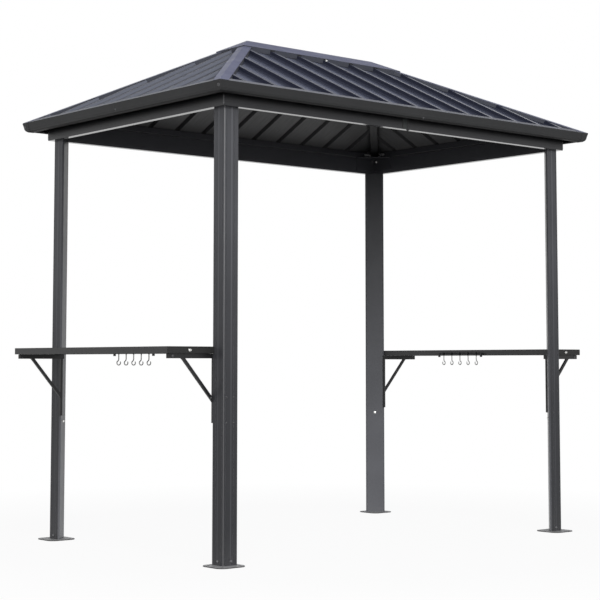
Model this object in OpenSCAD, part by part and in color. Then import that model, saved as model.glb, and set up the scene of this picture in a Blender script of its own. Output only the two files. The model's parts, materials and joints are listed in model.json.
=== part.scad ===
// Open grill gazebo: four triangular posts, a beam ring, a hipped ribbed-sheet roof and two side shelves.
// X runs along the ridge, Y across it, Z up. The front is -Y. The origin is on the ground at the centre.

/* [Frame] */
// Distance over the posts along the ridge
frame_x = 2206; // [1800:2:2800]
// Distance over the posts across the ridge
frame_y = 1406; // [1200:2:1800]
// Height of the underside of the beams
beam_underside = 1984; // [1800:1:2300]
// Height of a beam
beam_h = 90; // [70:1:110]
// Thickness of a beam, from its inner to its outer face
beam_t = 30; // [26:1:50]
// How far the beams stand out from the posts' outer faces
beam_lap = 23; // [18:1:30]
// Wall of the hollow posts and beams
tube_wall = 2; // [1.5:0.1:3]

/* [Posts and feet] */
// Leg of the triangular post, along each outer face
post_leg = 76; // [60:1:110]
// Depth of the flat lip at each end of the inner face
post_lip = 11; // [8:1:16]
// Side of the base plate
foot_side = 150; // [140:1:200]
// Thickness of the base plate
foot_plate = 4; // [3:0.5:8]
// Height of the tabs inside the post that it is bolted to
tab_h = 34; // [25:1:60]
// Diameter of the anchor holes
anchor_d = 11; // [8:0.5:14]

/* [Roof] */
// Distance from the posts' outer faces to the roof's outer edge
overhang = 116; // [90:1:180]
// Height of the sheet's lower edge above the beams' underside
eave_rise = 71; // [60:1:90]
// Height of the ridge above the sheet's lower edge
roof_rise = 392; // [300:1:520]
// Plan distance from a short eave to the end of the ridge
hip_run = 787; // [700:1:860]
// Thickness of the roof sheet
sheet_t = 0.8; // [0.6:0.1:1.5]
// Distance between two ribs of the roof sheet
rib_pitch = 175; // [120:1:240]
// Height of a rib
rib_h = 18; // [12:0.5:24]
// Width of a rib at its foot
rib_foot = 34; // [28:1:44]
// Width of a rib at its crest
rib_crest = 20; // [14:1:24]
// Thickness of the folded trim: fascia, hip caps and ridge cap
trim_t = 1.2; // [0.8:0.1:2]
// Height of the fascia's upright face, above its bend
fascia_h = 22; // [14:1:30]
// Radius of the bend at the fascia's foot
fascia_bend = 22; // [16:1:26]
// Plan width of each wing of a hip cap
hip_cap_w = 34; // [30:1:44]
// Plan width of each wing of the ridge cap
ridge_cap_w = 112; // [90:1:130]
// Width of a hip rafter and of the ridge beam
rafter_w = 40; // [30:1:50]
// Depth of a hip rafter
rafter_h = 30; // [25:1:40]
// Depth of the ridge beam
ridge_beam_h = 50; // [40:1:70]

/* [Shelves] */
// Height of the shelf's top above the ground
shelf_top = 939; // [850:1:1050]
// Width of the shelf, outwards from the posts
shelf_w = 248; // [200:1:320]
// Height of the shelf's folded edge
shelf_edge = 30; // [24:1:40]
// Thickness of the shelf sheet
shelf_t = 1.5; // [1:0.1:3]
// Side of the square arms of the shelf brackets
bracket_bar = 21; // [18:1:28]
// Height of the bracket's upright below the shelf
bracket_drop = 300; // [240:1:400]
// Distance between the shelf's outer edge and the bracket's end
bracket_setback = 16; // [5:1:30]

/* [Hooks] */
// Number of hooks on each rail
hook_count = 5; // [3:1:7]
// Distance between two hooks
hook_pitch = 62; // [50:1:80]
// Diameter of the hook rail
rail_d = 8; // [6:0.5:12]
// Diameter of the hook wire
wire_d = 5; // [3:0.5:6]
// Radius of the hook's lower bend, to the middle of the wire
hook_bend = 10; // [9:0.5:13]
// Height from the middle of the lower bend to the middle of the rail
hook_drop = 49; // [42:1:60]

/* [Hidden] */
$fn = 48;
fit_gap = 0.2;          // clearance between pieces that seat on each other
joint_gap = 0.6;        // gap between the two halves of a beam, a fascia or a roof slope
tall = 4000;            // reach of the cutting prisms

post_x = frame_x / 2;
post_y = frame_y / 2;
beam_top = beam_underside + beam_h;
roof_x = post_x + overhang;          // outer edge of the roof
roof_y = post_y + overhang;
sheet_setback = 8;                   // the sheet stops short of the roof's outer edge
eave_x = roof_x - sheet_setback;
eave_y = roof_y - sheet_setback;
eave_z = beam_underside + eave_rise;
ridge_half = eave_x - hip_run;
ridge_z = eave_z + roof_rise;
long_pitch = atan(roof_rise / eave_y);
short_pitch = atan(roof_rise / hip_run);
hip_plan = [hip_run, eave_y];
hip_dir = [-hip_run, eave_y] / norm(hip_plan);        // up the front right hip, in plan
hip_pitch = atan(roof_rise / norm(hip_plan));
hip_angle = atan2(eave_y, -hip_run);

// Levels above the sheet, measured straight up, so that neighbouring slopes meet on the hip
level_cos = min(cos(long_pitch), cos(short_pitch));
trim_v = trim_t / level_cos;
lip_v = (rib_h + sheet_t) / level_cos + fit_gap;
hip_cap_v = lip_v + trim_v + fit_gap;
hip_top_v = hip_cap_v + trim_v + fit_gap;
ridge_lift = 4;                      // height of the ridge cap's edge where it lies over the hip caps
ridge_cap_v = hip_top_v + ridge_lift;
hem_gap = 2;                         // from the sheet up to the foot of the caps' hems
hem_v = sheet_t / level_cos + hem_gap;

// The hip rafter's top edges lie just under the two sheets
hip_fall = max(
    tan(long_pitch) * hip_run, tan(short_pitch) * eave_y) / norm(hip_plan);
rafter_drop = rafter_w / 2 * hip_fall + fit_gap;
ridge_drop = rafter_w / 2 * tan(long_pitch) + fit_gap;

bracket_plate = 3;                   // sheet of the corner brackets and splices
rafter_seat = beam_top + fit_gap + bracket_plate + fit_gap;

bracket_y = post_y - post_leg - fit_gap;             // from the middle to a bracket's face at the post
shelf_lap = 8;                       // reach of the shelf over a post's outer face
shelf_y = post_y - post_leg + shelf_lap;             // half length of a shelf
shelf_under = shelf_top - shelf_edge;
arm_under = shelf_under - fit_gap - bracket_bar;

// Points along a folded sheet

function unit(v) = v / norm(v);
function left_of(a, b) = let (d = unit(b - a)) [-d.y, d.x];
function mitred(before, here, after, t) =
    let (n = left_of(before, here), m = unit(n + left_of(here, after)))
    here + m * t / (m * n);
function shifted(path, t) = let (last = len(path) - 1) [
    for (i = [0 : last])
        i == 0 ? path[0] + left_of(path[0], path[1]) * t
        : i == last ? path[last] + left_of(path[last - 1], path[last]) * t
        : mitred(path[i - 1], path[i], path[i + 1], t)
];
function reversed(path) = [for (i = [len(path) - 1 : -1 : 0]) path[i]];
// Outline of a sheet of thickness t that lies to the left of an open path
function sheet_outline(path, t) = concat(path, reversed(shifted(path, t)));
// Closed outline moved inwards by t; its points run anticlockwise
function inset(points, t) = let (n = len(points)) [
    for (i = [0 : n - 1]) mitred(points[(i + n - 1) % n], points[i], points[(i + 1) % n], t)
];

// Placing

// What is drawn for the front right quarter goes to another quarter
module quarter(side, end) {
    mirror([side == "left" ? 1 : 0, 0, 0]) mirror([0, end == "back" ? 1 : 0, 0]) children();
}
module all_quarters() {
    for (side = ["left", "right"], end = ["front", "back"]) quarter(side, end) children();
}
// Frame of the front slope: x along the eave, y up the slope, z square to the sheet
module on_front_slope() {
    translate([0, -eave_y, eave_z]) rotate([long_pitch, 0, 0]) children();
}
module on_right_slope() {
    translate([eave_x, 0, eave_z]) rotate([0, 0, 90]) rotate([short_pitch, 0, 0]) children();
}
module above_plan(points) { linear_extrude(tall) polygon(points); }

// Posts and feet

post_bead = 5;                       // radius of the post's rounded corner
bead_steps = 5;
post_grooves = [11, 54];              // distance of the grooves from the post's corner
groove_w = 2;
groove_d = 1;
// Points of a quarter turn about a centre, from angle a on, anticlockwise
function quarter_arc(centre, r, a, steps) = [
    for (i = [0 : steps]) let (w = a + 90 * i / steps) centre + r * [cos(w), sin(w)]
];
post_outline = concat(
    [[-post_leg, 0]], quarter_arc([-post_bead, post_bead], post_bead, -90, bead_steps),
    [[0, post_leg], [-post_lip, post_leg], [-post_leg, post_lip]]
);

module post_section() {
    difference() {
        polygon(post_outline);
        polygon(inset(post_outline, tube_wall));
        for (g = post_grooves) {
            translate([-g - groove_w / 2, -groove_d]) square([groove_w, 2 * groove_d]);
            translate([-groove_d, g - groove_w / 2]) square([2 * groove_d, groove_w]);
        }
    }
}
module post() {
    color("#48484b")
    translate([post_x, -post_y, foot_plate])
    linear_extrude(beam_underside - fit_gap - foot_plate) post_section();
}

foot_corner = 38;                    // radius of the plate's corners
foot_out = 50;                       // reach of the plate outside the post's outer faces
anchor_inset = 27;                   // from the plate's edge to an anchor hole
tab_t = 2.5;
tab_inset = 14;                      // from the ends of the post's outer face to a tab

module rounded_square(side, r) {
    translate([r, 0]) square([side - 2 * r, side]);
    translate([0, r]) square([side, side - 2 * r]);
    for (x = [r, side - r], y = [r, side - r]) translate([x, y]) circle(r);
}
// Plan of the tabs, just inside the post's two outer walls
module tab_section() {
    inner = tube_wall + fit_gap;
    length = post_leg - 2 * tab_inset;
    translate([tab_inset - post_leg, inner]) square([length, tab_t]);
    translate([-inner - tab_t, tab_inset]) square([tab_t, length]);
}
module foot() {
    color("#5a5a5c")
    translate([post_x, -post_y, 0]) {
        difference() {
            translate([-foot_side + foot_out, -foot_out]) linear_extrude(foot_plate)
                rounded_square(foot_side, foot_corner);
            for (i = [anchor_inset, foot_side - anchor_inset], j = [anchor_inset, foot_side - anchor_inset])
                translate([foot_out - i, j - foot_out, -1]) cylinder(d = anchor_d, h = foot_plate + 2);
        }
        linear_extrude(foot_plate + tab_h) tab_section();
    }
}

// Beams

beam_out = beam_lap;                 // from a post's outer face out to the beam's faces
beam_in = beam_lap - beam_t;
beam_groove_z = 14;                  // height of the groove in the beam's outer face
beam_groove_h = 3;
beam_groove_d = 1.2;
splice_l = 160;                      // length of the plate behind a beam's middle joint

// Section with x outwards from the inner face and y up
module beam_section() {
    difference() {
        square([beam_t, beam_h]);
        translate([tube_wall, tube_wall]) square([beam_t - 2 * tube_wall, beam_h - 2 * tube_wall]);
        translate([beam_t - beam_groove_d, beam_groove_z]) square([2 * beam_groove_d, beam_groove_h]);
    }
}
// A beam along x in front, with mitred ends
module front_run(half_x, half_y) {
    intersection() {
        translate([-half_x - beam_out, -half_y - beam_in, beam_underside])
            rotate([90, 0, 90]) linear_extrude(2 * (half_x + beam_out))
            mirror([1, 0]) beam_section();
        mitre_prism(half_x + beam_out, half_y + beam_out, beam_t);
    }
}
// Plan of one side of a ring, cut at 45 degrees at its ends
module mitre_prism(x, y, depth) {
    above_plan([
        [-x + fit_gap, -y], [x - fit_gap, -y],
        [x - depth - fit_gap, -y + depth], [-x + depth + fit_gap, -y + depth]
    ]);
}
module right_half() { translate([joint_gap / 2, -tall / 2, -1]) cube([tall, tall, tall]); }
module front_beam_half() {
    color("#3c3c3e") intersection() {
        front_run(post_x, post_y);
        right_half();
    }
}
module side_beam() {
    color("#3c3c3e") rotate([0, 0, 90]) front_run(post_y, post_x);
}
module beam_splices() {
    plate_h = beam_h - 20;
    color("#3c3c3e") for (end = ["front", "back"]) quarter("right", end)
        translate([-splice_l / 2, -post_y - beam_in + fit_gap, beam_underside + (beam_h - plate_h) / 2])
        cube([splice_l, bracket_plate, plate_h]);
}

// Corner brackets on the beams' tops, with two ears down the beams' inner faces

bracket_leg = 150;
ear_drop = 72;
module corner_bracket() {
    z = beam_top + fit_gap;
    in = fit_gap - beam_in;              // from the post's corner in to an ear
    ear = bracket_leg - in;
    translate([post_x, -post_y, 0]) {
        translate([0, 0, z]) linear_extrude(bracket_plate)
            polygon([[0, 0], [0, bracket_leg], [-bracket_leg, in + bracket_plate], [-bracket_leg, 0]]);
        translate([-bracket_leg, in, z - ear_drop]) cube([ear, bracket_plate, ear_drop + bracket_plate]);
        translate([-in - bracket_plate, in, z - ear_drop])
            cube([bracket_plate, ear, ear_drop + bracket_plate]);
    }
}
module corner_brackets() {
    color("#3c3c3e") all_quarters() corner_bracket();
}

// Hip rafters and ridge beam

ridge_end = ridge_half + rafter_w / 2;
module hip_rafter() {
    reach = norm(hip_plan) / cos(hip_pitch);
    color("#333336") intersection() {
        difference() {
            translate([eave_x, -eave_y, eave_z - rafter_drop]) rotate([0, 0, hip_angle])
                rotate([0, -hip_pitch, 0]) translate([0, -rafter_w / 2, -rafter_h])
                cube([reach, rafter_w, rafter_h]);
            translate([0, -tall / 2, rafter_seat - tall]) cube([tall, tall, tall]);
            translate([-ridge_end - fit_gap, -rafter_w / 2 - fit_gap, 0])
                cube([2 * (ridge_end + fit_gap), rafter_w + 2 * fit_gap, tall]);
        }
        translate([0, -tall - fit_gap, 0]) cube([tall, tall, tall]);
    }
}
module ridge_beam() {
    color("#333336")
    translate([-ridge_end, -rafter_w / 2, ridge_z - ridge_drop - ridge_beam_h])
        difference() {
            cube([2 * ridge_end, rafter_w, ridge_beam_h]);
            translate([-1, tube_wall, tube_wall])
                cube([2 * ridge_end + 2, rafter_w - 2 * tube_wall, ridge_beam_h - 2 * tube_wall]);
        }
}

// Roof sheets

hip_gap = 3;                         // from the hip or ridge line to the sheet's cut edge
rib_reach = rib_foot / 2 + 4;        // a rib stays this far inside the sheet's end

// Underside of a sheet of half width w, seen along the ribs
function ribbed_path(w) = let (n = floor((w - rib_reach) / rib_pitch)) concat(
    [[-w, 0]],
    [for (i = [-n : n]) each [
        [i * rib_pitch - rib_foot / 2, 0], [i * rib_pitch - rib_crest / 2, rib_h],
        [i * rib_pitch + rib_crest / 2, rib_h], [i * rib_pitch + rib_foot / 2, 0]
    ]],
    [[w, 0]]
);
// A ribbed sheet in its slope's frame, from the eave up
module ribbed_sheet(half_w, run) {
    rotate([-90, 0, 0]) mirror([0, 1, 0]) linear_extrude(run)
        polygon(sheet_outline(ribbed_path(half_w), sheet_t));
}
front_plan = [[-eave_x, -eave_y], [eave_x, -eave_y], [ridge_half, 0], [-ridge_half, 0]];
right_plan = [[eave_x, -eave_y], [eave_x, eave_y], [ridge_half, 0]];

module front_roof_half() {
    color("#3b3f4c") intersection() {
        on_front_slope() ribbed_sheet(eave_x, eave_y / cos(long_pitch));
        above_plan(inset(front_plan, hip_gap));
        right_half();
    }
}
module right_roof() {
    color("#3b3f4c") intersection() {
        on_right_slope() ribbed_sheet(eave_y, hip_run / cos(short_pitch));
        above_plan(inset(right_plan, hip_gap));
    }
}

// Hip caps and ridge cap: a wing on each slope, all at one height straight above the sheet,
// and along the wing's edge a hem that drops between the ribs

notch_gap = 2;                       // clearance of the hems' notches round the ribs
module front_slab(level, height, plan) {
    intersection() {
        on_front_slope() translate([-tall / 2, -tall / 2, level * cos(long_pitch)])
            cube([tall, tall, height * cos(long_pitch)]);
        above_plan(plan);
    }
}
module right_slab(level, height, plan) {
    intersection() {
        on_right_slope() translate([-tall / 2, -tall / 2, level * cos(short_pitch)])
            cube([tall, tall, height * cos(short_pitch)]);
        above_plan(plan);
    }
}
module front_wing(level, plan) { front_slab(level, trim_v, plan); }
module right_wing(level, plan) { right_slab(level, trim_v, plan); }
// Room taken by the ribs of a sheet, in its slope's frame
module rib_room(half_w, run) {
    w = rib_foot / 2 + notch_gap;
    c = rib_crest / 2 + notch_gap;
    n = floor((half_w - rib_reach) / rib_pitch);
    for (i = [-n : n]) translate([i * rib_pitch, -1, 0]) rotate([-90, 0, 0]) mirror([0, 1, 0])
        linear_extrude(run + 2)
        polygon([[-w, -1], [w, -1], [c, rib_h + sheet_t + notch_gap], [-c, rib_h + sheet_t + notch_gap]]);
}
module front_hem(level, plan) {
    difference() {
        front_slab(hem_v, level - hem_v + trim_v / 2, plan);
        on_front_slope() rib_room(eave_x, eave_y / cos(long_pitch));
    }
}
module right_hem(level, plan) {
    difference() {
        right_slab(hem_v, level - hem_v + trim_v / 2, plan);
        on_right_slope() rib_room(eave_y, hip_run / cos(short_pitch));
    }
}
hip_foot = [eave_x, -eave_y];
hip_head = [ridge_half, 0];
front_side = [-hip_dir.y, hip_dir.x];                // square to the hip, towards the front slope
// Plan of a strip beside the hip, from one distance to another, from beyond its foot to its head
function hip_strip(side, from, to) = let (foot = hip_foot - hip_dir * overhang)
    [foot + side * from, hip_head + side * from, hip_head + side * to, foot + side * to];

module hip_cap() {
    hem = hip_cap_w - trim_t;
    clear = lip_depth + joint_gap;       // the hems end at the fascia's lip
    color("#6c6e80") {
        intersection() {
            union() {
                front_wing(hip_cap_v, hip_strip(front_side, 0, hip_cap_w));
                right_wing(hip_cap_v, reversed(hip_strip(-front_side, 0, hip_cap_w)));
            }
            translate([0, -roof_y, 0]) cube([roof_x, roof_y - fit_gap, tall]);
        }
        intersection() {
            union() {
                front_hem(hip_cap_v, hip_strip(front_side, hem, hip_cap_w));
                right_hem(hip_cap_v, reversed(hip_strip(-front_side, hem, hip_cap_w)));
            }
            translate([0, clear - roof_y, 0]) cube([roof_x - clear, roof_y - clear - fit_gap, tall]);
        }
    }
}
cap_end = ridge_cap_w * hip_run / eave_y;            // plan reach of the ridge cap past the ridge's end
module ridge_cap() {
    corner_x = ridge_half + cap_end;
    fold_x = corner_x - trim_t;                                   // inner faces of the turned-down edges
    fold_y = ridge_cap_w - trim_t;
    hem_x = corner_x - hip_cap_w / -front_side.x - joint_gap;     // the hems end at the hip caps
    hem_y = ridge_cap_w - hip_cap_w / -front_side.y - joint_gap;
    color("#666878") union() for (side = ["left", "right"], end = ["front", "back"]) quarter(side, end) {
        front_wing(ridge_cap_v, [[0, 0], [0, -ridge_cap_w], [corner_x, -ridge_cap_w], [ridge_half, 0]]);
        right_wing(ridge_cap_v, [[ridge_half, 0], [corner_x, -ridge_cap_w], [corner_x, 0]]);
        front_hem(ridge_cap_v, [[0, -fold_y], [0, -ridge_cap_w], [hem_x, -ridge_cap_w], [hem_x, -fold_y]]);
        right_hem(ridge_cap_v, [[fold_x, 0], [fold_x, -hem_y], [corner_x, -hem_y], [corner_x, 0]]);
        front_slab(hip_top_v, ridge_lift + trim_v / 2,
            [[0, -fold_y], [0, -ridge_cap_w], [corner_x, -ridge_cap_w], [fold_x, -fold_y]]);
        right_slab(hip_top_v, ridge_lift + trim_v / 2,
            [[fold_x, 0], [fold_x, -fold_y], [corner_x, -ridge_cap_w], [corner_x, 0]]);
    }
}

// Fascia: a folded trim that hooks over the ribs' ends and turns in below

lip_depth = 32;                      // plan reach of the lip over the ribs
fascia_tilt = 6;                     // the foot of the upright face lies this far inside its head
fascia_steps = 5;                    // flats that make up the bend
return_depth = 44;                   // from the roof's edge to the end of the bottom return
corner_cover = 46;                   // length of a corner cover along each side

// Inner face of the fascia: x outwards from the roof's edge, y up from the lip's underside at the edge
function fascia_path(pitch) = let (r = fascia_bend - trim_t, x = -trim_t - fascia_tilt - r) concat(
    [[-lip_depth, lip_depth * tan(pitch)], [-trim_t, trim_t * tan(pitch)]],
    reversed(quarter_arc([x, -fascia_h], r, -90, fascia_steps)),
    [[-return_depth, -fascia_h - r]]
);
function fascia_z(pitch) = eave_z - sheet_setback * tan(pitch) + lip_v;
// A folded section run along the front eave and mitred at the corners
module eave_run(x, y, pitch, points) {
    intersection() {
        translate([-x, -y, fascia_z(pitch)]) rotate([90, 0, 90]) linear_extrude(2 * x)
            mirror([1, 0]) polygon(points);
        mitre_prism(x + trim_t, y + trim_t, return_depth + trim_t);
    }
}
module fascia(x, y, pitch) {
    section = sheet_outline(fascia_path(pitch), trim_t);
    for (side = [0, 1]) intersection() {
        mirror([side, 0, 0]) right_half();
        eave_run(x, y, pitch, section);
    }
}
module front_fascia() { color("#3f3f3d") fascia(roof_x, roof_y, long_pitch); }
module right_fascia() { color("#3f3f3d") rotate([0, 0, 90]) fascia(roof_y, roof_x, short_pitch); }

// Half of a corner cover, on the front side of the front right corner
module cover_half(x, y, pitch) {
    outside = shifted(fascia_path(pitch), trim_t + fit_gap);
    face = [for (i = [1 : len(outside) - 1]) outside[i]];
    intersection() {
        translate([x - corner_cover, -y - tall / 2, 0]) cube([tall, tall, tall]);
        translate([-x, -y, fascia_z(pitch)]) rotate([90, 0, 90]) linear_extrude(2 * x + overhang)
            mirror([1, 0]) polygon(sheet_outline(face, trim_t));
        above_plan([
            [x + overhang, -y - overhang],
            [x - return_depth, -y + return_depth],
            [x - overhang, -y - overhang]
        ]);
    }
}
module fascia_corners() {
    color("#3f3f3d") all_quarters() union() {
        cover_half(roof_x, roof_y, long_pitch);
        rotate([0, 0, 90]) mirror([1, 0, 0]) cover_half(roof_y, roof_x, short_pitch);
    }
}

// Shelves

shelf_return = 14;                   // inward fold at the foot of the shelf's edge
module shelf() {
    color("#434345")
    translate([post_x + fit_gap, -shelf_y, shelf_under]) difference() {
        cube([shelf_w, 2 * shelf_y, shelf_edge]);
        translate([shelf_t, shelf_t, shelf_t])
            cube([shelf_w - 2 * shelf_t, 2 * (shelf_y - shelf_t), shelf_edge - 2 * shelf_t]);
        translate([shelf_return, shelf_return, -1])
            cube([shelf_w - 2 * shelf_return, 2 * (shelf_y - shelf_return), shelf_edge / 2]);
    }
}
// Brackets: an arm under the shelf's end, a flat upright beside the post's lip and a brace between
upright_w = 12;                      // width of the upright, seen from the front
upright_t = 10;                      // thickness of the upright and the brace
brace_rise = 190;                    // height of the brace's foot below the arm
brace_run = 166;                     // reach of the brace's head along the arm
brace_t = 14;                        // width of the brace, across its slope
module shelf_bracket() {
    arm_l = upright_w + shelf_w - bracket_setback;
    brace_l = norm([brace_rise, brace_run]);
    color("#2f2f31")
    translate([post_x - upright_w, -bracket_y, 0]) {
        translate([0, 0, arm_under]) cube([arm_l, bracket_bar, bracket_bar]);
        translate([0, 0, arm_under + bracket_bar - bracket_drop])
            cube([upright_w, upright_t, bracket_drop]);
        translate([upright_w, upright_t, arm_under]) rotate([90, 0, 0]) linear_extrude(upright_t) polygon([
            [0, -brace_rise], [brace_run, 0], [brace_run - brace_t * brace_l / brace_rise, 0],
            [0, brace_t * brace_l / brace_run - brace_rise]
        ]);
    }
}
module shelf_brackets() {
    for (end = ["front", "back"]) quarter("right", end) shelf_bracket();
}

// Hook rail beside the shelf's inner edge, and its ring-topped hooks

rail_in = 13;                        // from the posts' outer faces in to the rail's middle
rail_lift = 8;                       // from the shelf's underside up to the rail's middle
rail_x = post_x - rail_in;
rail_z = shelf_under + rail_lift;
rail_end = 40;                       // from the last hook to the rail's end
rail_half = hook_pitch * (hook_count - 1) / 2 + rail_end;
rail_post = 9;                       // side of the rail's end blocks
rail_foot = 9;                       // drop of the end blocks below the shelf

module hook_rail() {
    color("#2f2f31") {
        translate([rail_x, rail_half, rail_z]) rotate([90, 0, 0]) cylinder(d = rail_d, h = 2 * rail_half);
        for (y = [-rail_half, rail_half - rail_post]) {
            translate([rail_x - rail_post / 2, y, rail_z - rail_lift - rail_foot])
                cube([rail_post, rail_post, rail_foot + rail_lift + rail_post / 2]);
            translate([rail_x, y, rail_z - rail_post / 2]) cube([rail_in, rail_post, rail_post]);
        }
    }
}
// An arc of wire about the origin, in the plane of x and z
module wire_arc(r, from, to) {
    rotate([90, 0, 0]) rotate([0, 0, from]) rotate_extrude(angle = to - from)
        translate([r, 0]) circle(d = wire_d);
}
hook_eye = (rail_d + wire_d) / 2 + fit_gap;          // radius of the ring round the rail
neck_turn = 60;                      // turn of the sway, of the lower bend's radius
neck_z = 2 * sin(neck_turn) * hook_bend - hook_drop; // where the shank starts to sway into the lower bend
bend_end = 215;                      // angle at which the lower bend ends
bend_root = 4;                       // angle by which a bend runs on inside its neighbour
shank_d = wire_d + 0.4;              // the shank takes in the ends of its neighbours
module hook() {
    color("#b4b4b2") {
        rotate([90, 0, 0]) rotate_extrude() translate([hook_eye, 0]) circle(d = wire_d);
        translate([0, 0, neck_z]) cylinder(d = shank_d, h = -neck_z - hook_eye);
        translate([hook_bend, 0, neck_z]) wire_arc(hook_bend, 180 - bend_root, 180 + neck_turn);
        translate([0, 0, -hook_drop]) wire_arc(hook_bend, -bend_end, neck_turn + bend_root);
    }
}
module hooks() {
    for (i = [0 : hook_count - 1])
        translate([rail_x, (i - (hook_count - 1) / 2) * hook_pitch, rail_z - fit_gap / 2]) hook();
}

quarter("left", "front") post();  // front_left_post
quarter("right", "front") post();  // front_right_post
quarter("left", "back") post();  // back_left_post
quarter("right", "back") post();  // back_right_post
quarter("left", "front") foot();  // front_left_foot
quarter("right", "front") foot();  // front_right_foot
quarter("left", "back") foot();  // back_left_foot
quarter("right", "back") foot();  // back_right_foot
quarter("left", "front") front_beam_half();  // front_beam_left
quarter("right", "front") front_beam_half();  // front_beam_right
quarter("left", "back") front_beam_half();  // back_beam_left
quarter("right", "back") front_beam_half();  // back_beam_right
quarter("left", "front") side_beam();  // left_beam
quarter("right", "front") side_beam();  // right_beam
beam_splices();
corner_brackets();
quarter("left", "front") hip_rafter();  // front_left_hip_rafter
quarter("right", "front") hip_rafter();  // front_right_hip_rafter
quarter("left", "back") hip_rafter();  // back_left_hip_rafter
quarter("right", "back") hip_rafter();  // back_right_hip_rafter
ridge_beam();
quarter("left", "front") front_roof_half();  // front_roof_left
quarter("right", "front") front_roof_half();  // front_roof_right
quarter("left", "back") front_roof_half();  // back_roof_left
quarter("right", "back") front_roof_half();  // back_roof_right
quarter("left", "front") right_roof();  // left_roof
quarter("right", "front") right_roof();
quarter("left", "front") hip_cap();  // front_left_hip_cap
quarter("right", "front") hip_cap();  // front_right_hip_cap
quarter("left", "back") hip_cap();  // back_left_hip_cap
quarter("right", "back") hip_cap();  // back_right_hip_cap
ridge_cap();
quarter("right", "front") front_fascia();
quarter("right", "back") front_fascia();  // back_fascia
quarter("left", "front") right_fascia();  // left_fascia
quarter("right", "front") right_fascia();
fascia_corners();
quarter("left", "front") shelf();  // left_shelf
quarter("right", "front") shelf();  // right_shelf
quarter("left", "front") shelf_brackets();  // left_shelf_brackets
quarter("right", "front") shelf_brackets();  // right_shelf_brackets
quarter("left", "front") hook_rail();  // left_hook_rail
quarter("right", "front") hook_rail();  // right_hook_rail
quarter("left", "front") hooks();  // left_hooks
quarter("right", "front") hooks();  // right_hooks
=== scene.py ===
import json
import math

import bmesh
import bpy
from mathutils import Matrix, Vector


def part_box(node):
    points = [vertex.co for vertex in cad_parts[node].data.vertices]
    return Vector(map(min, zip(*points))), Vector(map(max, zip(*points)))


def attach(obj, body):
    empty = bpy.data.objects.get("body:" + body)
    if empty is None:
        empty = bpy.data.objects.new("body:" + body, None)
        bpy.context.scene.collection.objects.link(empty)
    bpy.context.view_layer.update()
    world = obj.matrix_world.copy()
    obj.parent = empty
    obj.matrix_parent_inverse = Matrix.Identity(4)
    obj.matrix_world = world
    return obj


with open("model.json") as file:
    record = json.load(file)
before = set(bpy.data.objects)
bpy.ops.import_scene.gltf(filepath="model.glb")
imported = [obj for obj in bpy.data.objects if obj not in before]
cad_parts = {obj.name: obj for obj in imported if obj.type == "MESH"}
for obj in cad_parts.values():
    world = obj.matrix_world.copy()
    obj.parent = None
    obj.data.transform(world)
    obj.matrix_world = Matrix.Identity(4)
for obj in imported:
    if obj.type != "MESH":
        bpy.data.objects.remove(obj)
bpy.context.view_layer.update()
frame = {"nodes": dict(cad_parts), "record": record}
nodes = frame["nodes"]
scene = bpy.context.scene
scene.view_settings.view_transform = "Standard"

ENDS = (-1, 1)          # front, back
SIDES = (-1, 1)         # left, right
CORNERS = [(sx, sy) for sy in ENDS for sx in SIDES]
UP = (0, 0, 1)

# Sizes repeated from the part's source, in metres
RIB_PITCH, RIB_FOOT, RIB_CREST = 0.175, 0.034, 0.020
EAVE_Z, ROOF_RISE, HIP_RUN = 2.055, 0.392, 0.787
EAVE_SETBACK = 0.008
RIDGE_CAP_W = 0.112
CREST_V = 0.0210        # rib crest, straight up from the sheet
RIDGE_CAP_V = 0.0283    # underside of the ridge cap, straight up from the sheet
POST_LEG, POST_LIP = 0.076, 0.011
UPRIGHT_T, ARM = 0.010, 0.021
BRACE_RISE, BRACE_RUN = 0.190, 0.166
BEAM_T = 0.030
FASCIA_HEAD = 2.0721    # height of the upper end of the fascia's upright face
FASCIA_H, FASCIA_TILT, FASCIA_BEND = 0.022, 0.006, 0.022
COVER_T = 0.0014        # corner covers of the fascia

# Sizes of the added bolts, screws and rivets, in metres
FRAME_BOLT = {"flats": 0.010, "height": 0.0045, "washer": 0.008}
FOOT_BOLT = {"flats": 0.009, "height": 0.0035, "washer": 0.0065}
SHELF_BOLT = {"flats": 0.010, "height": 0.0045, "washer": 0.0075}
RIDGE_BOLT = {"flats": 0.010, "height": 0.005, "washer": 0.008}
POST_SCREW = {"r": 0.0042, "height": 0.0025}
BRACE_SCREW = {"r": 0.0048, "height": 0.003, "washer": 0.0058}
SMALL_SCREW = {"r": 0.0052, "height": 0.003, "washer": 0.0065}
SLEEVE_SCREW = {"r": 0.0055, "height": 0.0035, "washer": 0.008}
JOINT_RIVET = {"r": 0.005, "height": 0.003}
COVER_RIVET = {"r": 0.008, "height": 0.0026}

# Places and sizes that two pieces share, in metres
EAR_FACE, EAR_ALONG, EAR_DROP = 0.0102, 0.0262, 0.0192      # bolts in the corner brackets' ears
SLEEVE_X, SLEEVE_UP = -0.032, 0.045                         # middle of a sleeve
SHELF_CAP_T = 0.0024


# Places taken from the frame

def low(node):
    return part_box(node)[0]


def high(node):
    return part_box(node)[1]


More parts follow.
